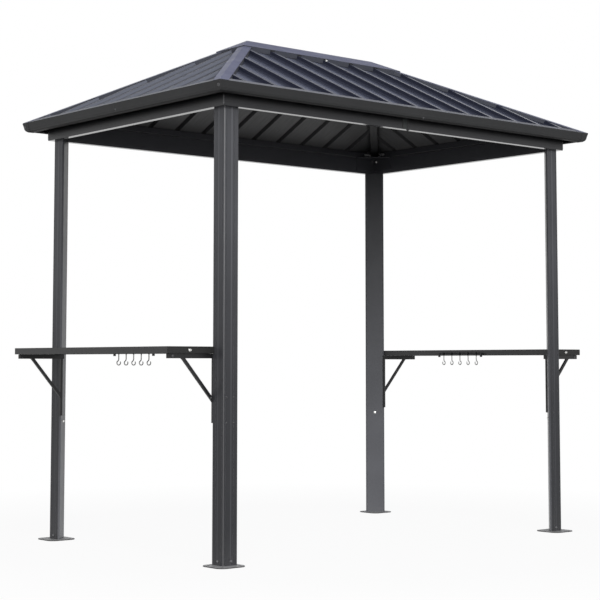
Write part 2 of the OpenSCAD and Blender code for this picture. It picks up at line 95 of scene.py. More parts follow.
post_x, post_y = high("front_right_post").x, high("back_right_post").y
post_foot = low("front_right_post").z
roof_x, roof_y = high("right_fascia").x, high("back_fascia").y
eave_x, eave_y = roof_x - EAVE_SETBACK, roof_y - EAVE_SETBACK
beam_x, beam_y = high("right_beam").x, high("back_beam_right").y
beam_z = low("right_beam").z
inner_x, inner_y = beam_x - BEAM_T, beam_y - BEAM_T
corner_top = high("corner_brackets").z
ear_z = corner_top - EAR_DROP
shelf_x, shelf_y = high("right_shelf").x, high("right_shelf").y
shelf_low, shelf_top = low("right_shelf").z, high("right_shelf").z
arm_end, bracket_y = high("right_shelf_brackets").x, high("right_shelf_brackets").y
bracket_low = low("right_shelf_brackets").z
arm_z = high("right_shelf_brackets").z - ARM / 2


# Materials

class Mat:
    """A node material around one Principled shader, with short calls for the nodes it needs."""

    def __init__(self, name, color, roughness, metallic=0.0, specular=0.5):
        self.mat = bpy.data.materials.new(name)
        self.mat.use_nodes = True
        self.tree = self.mat.node_tree
        self.shader = self.tree.nodes["Principled BSDF"]
        self.set("Base Color", (*color, 1.0))
        self.set("Roughness", roughness)
        self.set("Metallic", metallic)
        self.set("Specular IOR Level", specular)
        self.coords = self.node("ShaderNodeTexCoord").outputs["Object"]

    def set(self, socket, value):
        self.shader.inputs[socket].default_value = value

    def node(self, kind, **settings):
        made = self.tree.nodes.new(kind)
        for key, value in settings.items():
            setattr(made, key, value)
        return made

    def link(self, source, target):
        self.tree.links.new(source, target)

    def noise(self, scale, detail=3.0, stretch=None):
        n = self.node("ShaderNodeTexNoise")
        n.inputs["Scale"].default_value = scale
        n.inputs["Detail"].default_value = detail
        where = self.coords
        if stretch:
            m = self.node("ShaderNodeMapping")
            m.inputs["Scale"].default_value = stretch
            self.link(where, m.inputs["Vector"])
            where = m.outputs["Vector"]
        self.link(where, n.inputs["Vector"])
        return n.outputs["Fac"]

    def ranged(self, source, start, end, to_start, to_end):
        r = self.node("ShaderNodeMapRange")
        limits = {"From Min": start, "From Max": end, "To Min": to_start, "To Max": to_end}
        for key, value in limits.items():
            r.inputs[key].default_value = value
        self.link(source, r.inputs["Value"])
        return r.outputs["Result"]

    def mask(self, source, off, on):
        """0 where the source is at off or past it, 1 at on, and a slope between."""
        return self.ranged(source, off, on, 0.0, 1.0)

    def math(self, operation, a, b=0.0):
        m = self.node("ShaderNodeMath", operation=operation)
        for socket, value in zip(m.inputs, (a, b)):
            if isinstance(value, (int, float)):
                socket.default_value = value
            else:
                self.link(value, socket)
        return m.outputs[0]

    def mix(self, fac, a, b):
        m = self.node("ShaderNodeMix", data_type="RGBA")
        self.link(fac, m.inputs["Factor"])
        for socket, value in ((m.inputs[6], a), (m.inputs[7], b)):
            if isinstance(value, tuple):
                socket.default_value = (*value, 1.0)
            else:
                self.link(value, socket)
        return m.outputs[2]

    def mottled(self, fac, color, dark, light):
        """The colour between two tones of it."""
        return self.mix(fac, scaled(color, dark), scaled(color, light))

    def times(self, color, factor):
        m = self.node("ShaderNodeMix", data_type="RGBA", blend_type="MULTIPLY")
        m.inputs["Factor"].default_value = 1.0
        self.link(color, m.inputs[6])
        self.link(factor, m.inputs[7])
        return m.outputs[2]

    def edges(self, radius):
        """1 near an edge of the mesh, 0 on its flats."""
        bevel = self.node("ShaderNodeBevel", samples=6)
        bevel.inputs["Radius"].default_value = radius
        dot = self.node("ShaderNodeVectorMath", operation="DOT_PRODUCT")
        self.link(bevel.outputs["Normal"], dot.inputs[0])
        self.link(self.node("ShaderNodeNewGeometry").outputs["Normal"], dot.inputs[1])
        return self.mask(dot.outputs["Value"], 0.995, 0.9)

    def axes(self, vector):
        split = self.node("ShaderNodeSeparateXYZ")
        self.link(vector, split.inputs["Vector"])
        return split.outputs

    def place(self):
        return self.axes(self.coords)

    def normal(self):
        return self.axes(self.node("ShaderNodeNewGeometry").outputs["Normal"])

    def outward(self):
        """How far the face looks away from the gazebo's middle, along X and along Y."""
        at, normal = self.place(), self.normal()
        return [self.math("MULTIPLY", normal[axis], at[axis]) for axis in "XY"]

    def inward(self):
        """1 on faces that look towards the gazebo's middle, 0 on the others."""
        return self.mask(self.math("MINIMUM", *self.outward()), -0.3, -0.4)

    def color(self, source):
        self.link(source, self.shader.inputs["Base Color"])

    def roughness(self, source):
        self.link(source, self.shader.inputs["Roughness"])

    def bump(self, *layers):
        """Each layer is (height source, distance in metres)."""
        normal = None
        for source, distance in layers:
            b = self.node("ShaderNodeBump")
            b.inputs["Strength"].default_value = 1.0
            b.inputs["Distance"].default_value = distance
            self.link(source, b.inputs["Height"])
            if normal:
                self.link(normal, b.inputs["Normal"])
            normal = b.outputs["Normal"]
        self.link(normal, self.shader.inputs["Normal"])


UNDERSIDE = (0.014, 0.014, 0.015)       # back coat of the roof's sheets and caps
DUST, DUST_TOP = (0.25, 0.24, 0.22), 0.16
# Dark tone of the hooks above a height, where their rings run on the rail
RING_DARK = (0.02, 0.02, 0.02)


def scaled(color, k):
    return tuple(min(1.0, c * k) for c in color)


def painted_post_lines(m, tone, color, post_lines):
    """Painted upright lines on the posts' outer faces: painted shade at the recessed channels and a
    painted highlight line between them.
    """
    soft, full = 0.0045, 0.0015         # from a line's middle to where it ends and to where it's full
    at, normal = m.place(), m.normal()
    from_x = m.math("SUBTRACT", post_x, m.math("ABSOLUTE", at["X"]))
    from_y = m.math("SUBTRACT", post_y, m.math("ABSOLUTE", at["Y"]))
    long_face = m.math("GREATER_THAN", m.math("ABSOLUTE", normal["Y"]), 0.7)
    change = m.math("MULTIPLY", long_face, m.math("SUBTRACT", from_x, from_y))
    from_corner = m.math("ADD", from_y, change)
    outer = m.mask(m.math("MAXIMUM", *m.outward()), 0.2, 0.3)
    for line_at, share in post_lines:
        off = m.math("ABSOLUTE", m.math("SUBTRACT", from_corner, line_at))
        line = m.math("MULTIPLY", outer, m.mask(off, soft, full))
        tone = m.mix(line, tone, scaled(color, share))
    return tone


def height_tone(m, shade_by_height, inner_shade_by_height):
    """Painted shade and light on the coat by height, with a course of its own on faces towards the middle
    if one is given.
    """
    shade_tone = m.ranged(m.place()["Z"], *shade_by_height)
    if inner_shade_by_height:
        change = m.math("SUBTRACT", m.ranged(m.place()["Z"], *inner_shade_by_height), shade_tone)
        shade_tone = m.math("ADD", shade_tone, m.math("MULTIPLY", m.inward(), change))
    return shade_tone


def powder_coat(name, color, roughness=0.38, specular=0.5, edge=0.0018, wear_and_highlight=2.2, dust=0.0, top=None,
                corner=None, under=None, shade_by_height=None, inner_shade_by_height=None, inside=None, post_lines=()):
    """Satin powder coat: fine orange peel, soft random tone, pale edges and dust low down, and painted
    light and shade where asked for.

    edge is the pale edges' width and wear_and_highlight their tone: the edges show rubbed wear and a
    painted highlight. top is painted light, a paler colour for faces that look up. corner is a painted
    highlight on a post's outer bead. inside is painted light on faces towards the gazebo's middle.
    shade_by_height is (height, height, tone, tone), painted shade and light between two heights, and
    inner_shade_by_height the same for faces towards the middle. under is (colour, roughness, normal z)
    for faces that look down: a painted reflection where pale, painted shade where dark. post_lines are
    (distance from a post's corner, tone) of upright lines: painted shade at the recessed channels and a
    painted highlight line between them.
    """
    m = Mat(name, color, roughness, specular=specular)
    tone = m.mottled(m.mask(m.noise(2.3, 4.0), 0.35, 0.65), color, 0.9, 1.1)
    # Painted light: faces that look up take a paler colour
    if top:
        upper = m.mottled(m.noise(30.0, 4.0), top, 0.88, 1.12)
        tone = m.mix(m.mask(m.normal()["Z"], 0.4, 0.6), tone, upper)
    # Painted highlight down a post's outer bead
    if corner:
        tone = m.mix(m.mask(m.math("MINIMUM", *m.outward()), 0.08, 0.3), tone, corner)
    # Painted shade lines at the recessed channels and a painted highlight line between them
    if post_lines:
        tone = painted_post_lines(m, tone, color, post_lines)
    # Painted shade and light by height
    if shade_by_height:
        tone = m.times(tone, height_tone(m, shade_by_height, inner_shade_by_height))
    # Pale edges: rubbed wear and a painted highlight
    tone = m.mix(m.math("MULTIPLY", m.edges(edge), 0.6), tone, scaled(color, wear_and_highlight))
    if dust:
        settled = m.ranged(m.place()["Z"], 0.0, DUST_TOP, dust, 0.0)
        speckle = m.ranged(m.noise(60.0, 5.0), 0.4, 0.7, 0.2, 1.0)
        tone = m.mix(m.math("MULTIPLY", settled, speckle), tone, DUST)
    gloss = m.ranged(m.noise(38.0, 4.0), 0.3, 0.7, roughness - 0.02, roughness + 0.03)
    # Painted light: faces towards the gazebo's middle take a paler tone
    if inside:
        tone = m.mix(m.inward(), tone, m.mottled(m.noise(5.0), inside, 0.9, 1.1))
    # Faces that look down take their own tone: a painted reflection where pale, painted shade where dark
    if under:
        shade, dull, level = under
        down = m.mask(m.normal()["Z"], level + 0.05, level - 0.05)
        tone = m.mix(down, tone, shade)
        gloss = m.math("ADD", gloss, m.math("MULTIPLY", down, dull - roughness))
    m.color(tone)
    m.roughness(gloss)
    m.bump((m.noise(520.0, 2.0), 0.00004), (m.noise(70.0), 0.00003))
    return m.mat


def roof_steel(name, pan, rib_foot_shade, rib, crest, run, roughness):
    """Coated roof sheet: pans with shallow waves and faint rain streaks, painted darker towards the ribs'
    feet as shade, ribs and crests in painted tones of light and shade, rib edges painted in the crests'
    tone, and a plain back coat on the underside. run is the slope's plan axis."""
    unshaded_from, shaded_to = 0.078, 0.03     # from a rib's middle, in metres
    m = Mat(name, pan, roughness)
    along = (14.0, 1.2, 1.2) if run == "y" else (1.2, 14.0, 1.2)
    from_rib = m.math("PINGPONG", m.place()["X" if run == "y" else "Y"], RIB_PITCH / 2)

    def within(half, soft):
        return m.mask(from_rib, half + soft, half - soft)

    tone = m.mottled(m.mask(m.noise(3.0, 5.0, along), 0.4, 0.7), pan, 0.94, 1.1)
    # Painted shade: the pans darken towards the ribs' feet
    tone = m.mix(m.mask(from_rib, unshaded_from, shaded_to), tone, rib_foot_shade)
    # Painted light and shade: the rib sides and the crests take tones of their own
    tone = m.mix(within(RIB_FOOT / 2, 0.002), tone, rib)
    tone = m.mix(within(RIB_CREST / 2, 0.001), tone, crest)
    # Rib edges take the crests' painted tone
    tone = m.mix(m.math("MULTIPLY", m.edges(0.0014), 0.3), tone, crest)
    down = m.mask(m.normal()["Z"], 0.02, -0.02)
    m.color(m.mix(down, tone, m.mottled(m.noise(6.0, 4.0), UNDERSIDE, 0.9, 1.1)))
    gloss = m.ranged(m.noise(9.0, 5.0, along), 0.3, 0.7, roughness - 0.05, roughness + 0.07)
    m.roughness(m.math("ADD", gloss, m.math("MULTIPLY", down, 0.3)))
    m.bump((m.noise(5.0, 2.0), 0.0006), (m.noise(640.0, 2.0), 0.00003))
    return m.mat


def folded_trim(name, color, hem_shade, roughness=0.36):
    """Coated trim: pale wings, turned-down hems painted darker as shade and dull, a painted highlight
    along the edges, and the back coat underneath.
    """
    m = Mat(name, color, roughness)
    tone = m.mottled(m.mask(m.noise(4.0, 5.0), 0.35, 0.7), color, 0.93, 1.1)
    # Painted highlight along the edges
    tone = m.mix(m.math("MULTIPLY", m.edges(0.0012), 0.4), tone, scaled(color, 1.5))
    slope = m.normal()["Z"]
    # Painted shade: turned-down faces take the darker tone
    turned = m.mask(slope, 0.6, 0.4)
    tone = m.mix(turned, tone, hem_shade)
    m.color(m.mix(m.mask(slope, 0.02, -0.02), tone, UNDERSIDE))
    gloss = m.ranged(m.noise(14.0, 5.0), 0.3, 0.7, roughness - 0.06, roughness + 0.08)
    m.roughness(m.math("ADD", gloss, m.math("MULTIPLY", turned, 0.45)))
    m.bump((m.noise(7.0, 2.0), 0.0006), (m.noise(640.0, 2.0), 0.00004))
    return m.mat


def bright_steel(name, color, roughness, dark_above=None):
    """Zinc-plated or polished steel with faint grey bloom. Above a height it's dark, where the hooks'
    rings run on the rail."""
    m = Mat(name, color, roughness, metallic=1.0)
    tone = m.mix(m.ranged(m.noise(180.0, 4.0), 0.4, 0.75, 0.0, 0.6), color, scaled(color, 0.72))
    if dark_above:
        tone = m.mix(m.mask(m.place()["Z"], dark_above - 0.002, dark_above + 0.002), tone, RING_DARK)
    m.color(tone)
    m.roughness(m.ranged(m.noise(420.0), 0.3, 0.7, roughness - 0.07, roughness + 0.1))
    m.bump((m.noise(900.0, 2.0), 0.00003))
    return m.mat


def rubber(name, color):
    m = Mat(name, color, 0.6, specular=0.35)
    m.color(m.mottled(m.noise(260.0), color, 0.8, 1.3))
    m.bump((m.noise(1100.0, 2.0), 0.00004))
    return m.mat


# Posts: a painted highlight down the outer bead, painted shade and highlight lines at the recessed
# channels, painted shade lower down, and on the inner faces painted light low down and painted shade high
# up
POST = powder_coat("post_coat", (0.073, 0.0743, 0.081), 0.32, 0.1, dust=0.1, corner=(0.155, 0.155, 0.16),
                   post_lines=((0.011, 0.55), (0.041, 1.5), (0.054, 0.65)), shade_by_height=(0.65, 1.45, 0.63, 1.02),
                   inner_shade_by_height=(0.3, 1.5, 1.8, 0.72))
# Beams: painted shadow of the eave over the upper part, a pale painted reflection on the undersides, and
# painted light on the faces towards the middle
BEAM = powder_coat("beam_coat", (0.011, 0.0112, 0.0135), 0.3, 0.4, wear_and_highlight=1.3,
                   under=((0.075, 0.075, 0.073), 0.12, -0.5),
                   shade_by_height=(beam_z + 0.016, beam_z + 0.051, 1.25, 0.3), inside=(0.062, 0.063, 0.071))
# Painted light: a paler coat than the brackets' own, for the corner brackets and closers in the eave's
# shade
EAVE = powder_coat("eave_coat", (0.054, 0.055, 0.062), 0.35, 0.3, wear_and_highlight=1.2)
RAFTER = powder_coat("rafter_coat", (0.016, 0.016, 0.017))
# Fascia: faces that look up take a paler painted highlight of the sky, faces that look down painted shade,
# and the edges a strong painted highlight
FASCIA = powder_coat("fascia_coat", (0.03, 0.0305, 0.0315), 0.45, 0.15, wear_and_highlight=2.6, top=(0.25, 0.256, 0.28),
                     under=((0.004, 0.004, 0.0045), 0.6, -0.8))
SHELF = powder_coat("shelf_coat", (0.022, 0.022, 0.023), 0.42, 0.38)
BRACKET = powder_coat("bracket_coat", (0.009, 0.009, 0.01), 0.4, 0.35)
# Base plates: the pale faces that look up are painted light
FOOT = powder_coat("foot_coat", (0.04, 0.04, 0.042), 0.5, 0.3, top=(0.43, 0.43, 0.43), dust=0.15)
# Long slopes: rib sides and the pans near the ribs' feet are painted dark as shade, and the crests take a
# paler painted tone of light
ROOF_LONG = roof_steel("roof_sheet_long", pan=(0.19, 0.207, 0.28), rib_foot_shade=(0.05, 0.055, 0.08),
                       rib=(0.017, 0.0192, 0.033), crest=(0.12, 0.13, 0.172), run="y", roughness=0.2)
# Short slopes: the same sheet with its own painted light and shade: rib sides painted pale as lit, crests
# painted dark as shade, pans darker near the ribs' feet as shade
ROOF_SHORT = roof_steel("roof_sheet_short", pan=(0.13, 0.138, 0.165), rib_foot_shade=(0.03, 0.032, 0.04),
                        rib=(0.14, 0.15, 0.183), crest=(0.02, 0.0212, 0.0265), run="x", roughness=0.36)
# Caps: the turned-down hems take painted shade
CAP = folded_trim("cap_trim", (0.19, 0.202, 0.302), hem_shade=(0.066, 0.073, 0.1))
HOOK = bright_steel("hook_steel", (0.27, 0.27, 0.265), 0.3, dark_above=shelf_low - 0.003)
ZINC = bright_steel("zinc_bolt", (0.7, 0.7, 0.68), 0.32)
PAINTED_BOLT = powder_coat("painted_bolt", (0.065, 0.065, 0.068), 0.4, edge=0.0004)
# Pale coat of the foot bolts and corner beads; on the corner beads it paints the highlight down the beams'
# mitred corners
BEAD = powder_coat("bead_coat", (0.11, 0.111, 0.116), 0.35, edge=0.0004)
CLIP = powder_coat("clip_coat", (0.5, 0.5, 0.5), 0.4, edge=0.0006)
SLEEVE = powder_coat("sleeve_coat", (0.014, 0.017, 0.0175), 0.35, 0.4, edge=0.0006)
RUBBER = rubber("rubber_cap", (0.014, 0.014, 0.014))

# The short slopes take the sheet's coat with painted light and shade of their own, and the corner brackets
# the paler eave coat, which is painted light
BY_NODE = {"left_roof": ROOF_SHORT, "right_roof": ROOF_SHORT, "corner_brackets": EAVE}
BY_SLOT = {
    "post_coat": POST, "foot_steel": FOOT, "beam_coat": BEAM, "rafter_coat": RAFTER,
    "roof_sheet": ROOF_LONG, "cap_trim": CAP, "fascia_trim": FASCIA, "shelf_coat": SHELF,
    "bracket_coat": BRACKET, "hook_steel": HOOK,
}
slot_of = {part["node"]: part["material_slot"] for part in frame["record"]["subparts"]}
for name, obj in nodes.items():
    for holder in obj.material_slots:
        holder.material = BY_NODE.get(name, BY_SLOT[slot_of[name]])


# Shapes

def add_piece(name, bm, mat, smooth=False):
    mesh = bpy.data.meshes.new(name)
    bmesh.ops.recalc_face_normals(bm, faces=bm.faces)
    bm.to_mesh(mesh)
    bm.free()
    mesh.materials.append(mat)
    if smooth:
        mesh.shade_smooth()
        mesh.set_sharp_from_angle(angle=math.radians(35))
    obj = bpy.data.objects.new(name, mesh)
    scene.collection.objects.link(obj)
    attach(obj, "root")


def facing(center, normal, spin=0.0):
    """Matrix that puts local +Z along normal, with its origin at center."""
    turn = Vector(UP).rotation_difference(Vector(normal).normalized()).to_matrix().to_4x4()
    return Matrix.Translation(center) @ turn @ Matrix.Rotation(spin, 4, "Z")


def circle(radius, count):
    turns = [2 * math.pi * k / count for k in range(count)]
    return [(radius * math.cos(a), radius * math.sin(a)) for a in turns]


def loft(bm, rings):
    """Skin over rings of equal count, closed by a face at each end."""
    for lower, upper in zip(rings, rings[1:]):
        n = len(lower)
        for k in range(n):
            bm.faces.new((lower[k], lower[(k + 1) % n], upper[(k + 1) % n], upper[k]))
    bm.faces.new(list(reversed(rings[0])))
    bm.faces.new(rings[-1])


def lathe(bm, profile, place, sides=20):
    """Revolve (radius, height) points about local Z."""
    rings = []
    for r, z in profile:
        rings.append([bm.verts.new(place @ Vector((x, y, z))) for x, y in circle(r, sides)])
    loft(bm, rings)


def hex_bolt(bm, center, normal, flats, height, washer):
    """Flange-head bolt: a dished washer face and a chamfered hexagon with a shallow dome."""
    place = facing(center, normal, spin=0.2)
    flange = [(washer * 0.96, 0.0), (washer, 0.0004), (washer * 0.96, 0.0011), (flats * 0.6, 0.0019)]
    lathe(bm, flange, place)
    r = flats / math.sqrt(3)
    crown = height + 0.0012
    head = [(r, 0.001), (r, height * 0.75 + 0.0012), (r * 0.88, crown), (r * 0.3, crown + 0.0002)]
    lathe(bm, head, place, sides=6)


def round_screw(bm, center, normal, r, height, washer=0.0):
    """Button-head screw with a socket in its crown, on an optional washer."""
    place = facing(center, normal)
    base = 0.0
    if washer:
        base = 0.0012
        disc = [(washer * 0.97, 0.0), (washer, 0.0005), (washer * 0.95, 0.0014), (washer * 0.5, 0.0018)]
        lathe(bm, disc, place)
    turns = [math.radians(degrees) for degrees in (0, 18, 36, 54, 68)]
    dome = [(r * math.cos(a), base + 0.0006 + height * math.sin(a)) for a in turns]
    socket = [(r * 0.34, base + height * 0.94), (r * 0.3, base + height * 0.45)]
    lathe(bm, [(r, base), *dome, *socket], place)


def rim_plate(bm, center, across, up, size, corner, depth, rim=0.0, sink=0.0):
    """Rounded plate on a face: across and up are its directions, size its width and height, and depth
    how far it stands out. With a rim, the field inside it sinks back."""
    across, up = Vector(across).normalized(), Vector(up).normalized()
    out = across.cross(up)

    def ring(inset, level):
        r = max(corner - inset, 0.0004)
        w, h = size[0] / 2 - inset - r, size[1] / 2 - inset - r
        points = []
        for k, (cx, cy) in enumerate(((w, h), (-w, h), (-w, -h), (w, -h))):
            for step in range(5):
                a = math.radians(90 * k + 22.5 * step)
                points.append((cx + r * math.cos(a), cy + r * math.sin(a)))
        return [bm.verts.new(Vector(center) + across * u + up * v + out * level) for u, v in points]

    soft = min(0.0006, depth / 3)
    rings = [ring(0.0, 0.0), ring(0.0, depth - soft), ring(soft, depth)]
    if rim:
        rings += [ring(rim, depth), ring(rim + soft, depth - sink)]
    loft(bm, rings)


def weld(bm, start, end, r=0.0022):
    """Bead of weld from start to end, with the ripples that the torch leaves."""
    ripple = 0.0022
    start, end = Vector(start), Vector(end)
    along = (end - start).normalized()
    side = along.orthogonal().normalized()
    other = along.cross(side)
    count = max(6, int((end - start).length / ripple * 3))
    rings = []
    for k in range(count + 1):
        t = k / count
        taper = min(1.0, 0.35 + 8 * min(t, 1 - t))
        swell = r * (1.0 + 0.14 * math.cos(2 * math.pi * k / 3)) * taper
        mid = start.lerp(end, t)
        rings.append([bm.verts.new(mid + side * u + other * v) for u, v in circle(swell, 10)])
    loft(bm, rings)


def folded_strip(bm, start, end, inward, path, t):
    """Strip of thickness t swept from start to end. path is (inward, up) points of the face towards the
    gazebo's middle, and the thickness lies behind it."""
    inward = Vector(inward)
    points = [Vector(q) for q in path]
    behind = []
    for k, q in enumerate(points):
        sides = []
        if k:
            sides.append((q - points[k - 1]).normalized())
        if k < len(points) - 1:
            sides.append((points[k + 1] - q).normalized())
        normals = [Vector((-d.y, d.x)) for d in sides]
        mean = sum(normals, Vector((0, 0))).normalized()
        behind.append(q + mean * (t / mean.dot(normals[0])))
    outline = points + behind[::-1]
    rings = []
    for at in (start, end):
        rings.append([bm.verts.new(Vector(at) + inward * q.x + Vector((0, 0, q.y))) for q in outline])
    first, last = rings
    n = len(outline)
    for k in range(n):
        bm.faces.new((first[k], first[(k + 1) % n], last[(k + 1) % n], last[k]))
    for ring in rings:
        for k in range(len(points) - 1):
            bm.faces.new((ring[k], ring[k + 1], ring[n - 2 - k], ring[n - 1 - k]))


def on_long_slope(sy, x, up, level):
    """Point and normal over a long slope, up metres in plan from its eave and level above the sheet."""
    normal = Vector((0, sy * ROOF_RISE, eave_y)).normalized()
    return Vector((x, sy * (eave_y - up), EAVE_Z + ROOF_RISE * up / eave_y + level)), normal


def on_fascia(z, cover=0.0):
    """Distance in from the roof's edge and (out, up) normal of the fascia's face at a height."""
    below = FASCIA_HEAD - FASCIA_H - z
    if below <= 0:
        lean = FASCIA_TILT / FASCIA_H
        return lean * (FASCIA_HEAD - z) - cover, Vector((1.0, -lean)).normalized()
    up = -below / FASCIA_BEND
    out = math.sqrt(1.0 - up * up)
    return FASCIA_TILT + FASCIA_BEND * (1.0 - out) - cover * out, Vector((out, up))


# Pieces

def foot_bolts():
    """A bolt through each outer face of a post, just above its base plate."""
    short_face_inset, long_face_inset = 0.037, 0.043
    z = post_foot + 0.0185
    bm = bmesh.new()
    for sx, sy in CORNERS:
        hex_bolt(bm, (sx * post_x, sy * (post_y - short_face_inset), z), (sx, 0, 0), **FOOT_BOLT)
        hex_bolt(bm, (sx * (post_x - long_face_inset), sy * post_y, z), (0, sy, 0), **FOOT_BOLT)
    add_piece("foot_bolts", bm, BEAD)


def post_bolts():
    """Painted screws: through the posts into the bracket uprights, in one ear of each corner bracket, at
    the brace feet and at the arm ends."""
    post_insets = (0.054, 0.016)
    post_heights = (bracket_low + 0.1132, bracket_low + 0.0037)
    brace_x, brace_z = post_x + 0.009, bracket_low + 0.1087
    arm_x = arm_end - 0.017
    bm = bmesh.new()
    for sx, sy in CORNERS:
        out = (0, sy, 0)
        for inset in post_insets:
            for z in post_heights:
                round_screw(bm, (sx * (post_x - inset), sy * post_y, z), out, **POST_SCREW)
        ear = (sx * (post_x - EAR_ALONG), sy * (post_y - EAR_FACE), ear_z)
        round_screw(bm, ear, (0, -sy, 0), **SMALL_SCREW)
        round_screw(bm, (sx * brace_x, sy * bracket_y, brace_z), out, **BRACE_SCREW)
        round_screw(bm, (sx * arm_x, sy * bracket_y, arm_z), out, **SMALL_SCREW)
    add_piece("post_bolts", bm, PAINTED_BOLT, smooth=True)


def zinc_bolts():
    """Bright bolts: in the posts' inner faces, the shelf ends and the other ear of each corner bracket."""
    post_z = bracket_low - 0.0288
    cap_x, cap_y, cap_z = post_x + 0.131, shelf_y + SHELF_CAP_T, shelf_low + 0.0145
    middle = (POST_LEG + POST_LIP) / 2
    bm = bmesh.new()
    for sx, sy in CORNERS:
        inner_face = (sx * (post_x - middle), sy * (post_y - middle), post_z)
        hex_bolt(bm, inner_face, (-sx, -sy, 0), **FRAME_BOLT)
        hex_bolt(bm, (sx * cap_x, sy * cap_y, cap_z), (0, sy, 0), **SHELF_BOLT)
        ear = (sx * (post_x - EAR_FACE), sy * (post_y - EAR_ALONG), ear_z)
        hex_bolt(bm, ear, (-sx, 0, 0), **FRAME_BOLT)
    add_piece("zinc_bolts", bm, ZINC)


def end_caps():
    """Black end caps of the shelves and plugs of the arms."""
    cap = {"size": (shelf_x - post_x - 0.004, shelf_top - shelf_low - 0.0012), "corner": 0.004,
           "depth": SHELF_CAP_T, "rim": 0.0035, "sink": 0.0012}
    plug = {"size": (ARM - 0.001, ARM - 0.001), "corner": 0.0025,
            "depth": 0.0022, "rim": 0.003, "sink": 0.0006}
    cap_x, cap_z = (post_x + shelf_x) / 2, (shelf_low + shelf_top) / 2
    arm_y = bracket_y - ARM / 2
    bm = bmesh.new()
    for sx, sy in CORNERS:
        rim_plate(bm, (sx * cap_x, sy * shelf_y, cap_z), (-sy, 0, 0), UP, **cap)
        rim_plate(bm, (sx * arm_end, sy * arm_y, arm_z), (0, sx, 0), UP, **plug)
    add_piece("end_caps", bm, RUBBER)


def bracket_welds():
    """Welds along both edges of each brace's foot and head."""
    foot_w, head_w, inset = 0.021, 0.0186, 0.0008
    under = arm_z - ARM / 2
    foot_z, head_x = under - BRACE_RISE, post_x + BRACE_RUN
    seams = ((post_x, foot_z), (post_x, foot_z + foot_w), (head_x, under), (head_x - head_w, under))
    face_y, back_y = bracket_y - inset, bracket_y - UPRIGHT_T + inset
    bm = bmesh.new()
    for sx, sy in CORNERS:
        for x, z in seams:
            weld(bm, (sx * x, sy * face_y, z), (sx * x, sy * back_y, z))
    add_piece("bracket_welds", bm, BRACKET, smooth=True)


def closer_path(to_eave, run):
    """(inward, up) points of a closer's face: a flange that reaches outwards at its foot, the upright and
    a flange under the sheet, with rounded bends. run is the slope's length in plan."""
    flange, bend = 0.016, 0.002
    seat_gap, sheet_gap, bend_drop = 0.0004, 0.0016, 0.0002
    foot = corner_top + seat_gap
    fall = ROOF_RISE / run
    top = EAVE_Z + fall * to_eave - sheet_gap
    return [(-flange, foot), (-bend, foot), (-bend * 0.3, foot + bend * 0.3), (0.0, foot + bend),
            (0.0, top - bend), (-bend * 0.3, top - bend * 0.5), (-bend, top - bend * fall - bend_drop),
            (-flange, top - flange * fall)]


def eave_closers():
    """Folded strips just over the corner brackets, which close the gap between beams and sheets."""
    t = 0.0012
    long_end, short_end = inner_x - 0.034, inner_y - 0.040
    long_path = closer_path(eave_y - inner_y, eave_y)
    short_path = closer_path(eave_x - inner_x, HIP_RUN)
    bm = bmesh.new()
    for s in SIDES:
        x, y = s * inner_x, s * inner_y
        folded_strip(bm, (-long_end, y, 0), (long_end, y, 0), (0, -s, 0), long_path, t)
        folded_strip(bm, (x, -short_end, 0), (x, short_end, 0), (-s, 0, 0), short_path, t)
    add_piece("eave_closers", bm, EAVE)


def rafter_clips():
    """Clips of the closers, beside the feet of the hip rafters."""
    clip = {"size": (0.044, 0.011), "corner": 0.003, "depth": 0.0022, "rim": 0.0025, "sink": 0.0006}
    short_y, short_z = inner_y - 0.064, corner_top + 0.0198
    long_x, long_z = inner_x - 0.058, corner_top + 0.0178
    bm = bmesh.new()
    for sx, sy in CORNERS:
        rim_plate(bm, (sx * inner_x, sy * short_y, short_z), (0, -sx, 0), UP, **clip)
        rim_plate(bm, (sx * long_x, sy * inner_y, long_z), (sy, 0, 0), UP, **clip)
    add_piece("rafter_clips", bm, CLIP)


def sleeve_seals():
    """Dark seals under the sleeves, and a screw in the beam's underside beside each."""
    seal = {"size": (0.034, 0.088), "corner": 0.0015, "depth": 0.0010}
    screw_x, screw_y = -0.008, beam_y - 0.006
    bm = bmesh.new()
    for sy in ENDS:
        rim_plate(bm, (SLEEVE_X, sy * beam_y, beam_z + SLEEVE_UP), (-sy, 0, 0), UP, **seal)
        round_screw(bm, (screw_x, sy * screw_y, beam_z), (0, 0, -1), **SLEEVE_SCREW)
    add_piece("sleeve_seals", bm, RUBBER)


def beam_sleeves():
    """Sleeves over the long beams' middle joints."""
    sleeve = {"size": (0.022, 0.086), "corner": 0.0015, "depth": 0.0014}
    y = beam_y + 0.0008
    bm = bmesh.new()
    for sy in ENDS:
        rim_plate(bm, (SLEEVE_X, sy * y, beam_z + SLEEVE_UP), (-sy, 0, 0), UP, **sleeve)
    add_piece("beam_sleeves", bm, SLEEVE)


def corner_beads():
    """Weld beads down the beams' mitred corners, in a pale coat that paints the corners' highlight."""
    inset = 0.0006
    bottom, top = beam_z + 0.004, beam_z + 0.046
    bm = bmesh.new()
    for sx, sy in CORNERS:
        x, y = sx * (beam_x - inset), sy * (beam_y - inset)
        weld(bm, (x, y, bottom), (x, y, top), r=0.002)
    add_piece("corner_beads", bm, BEAD, smooth=True)


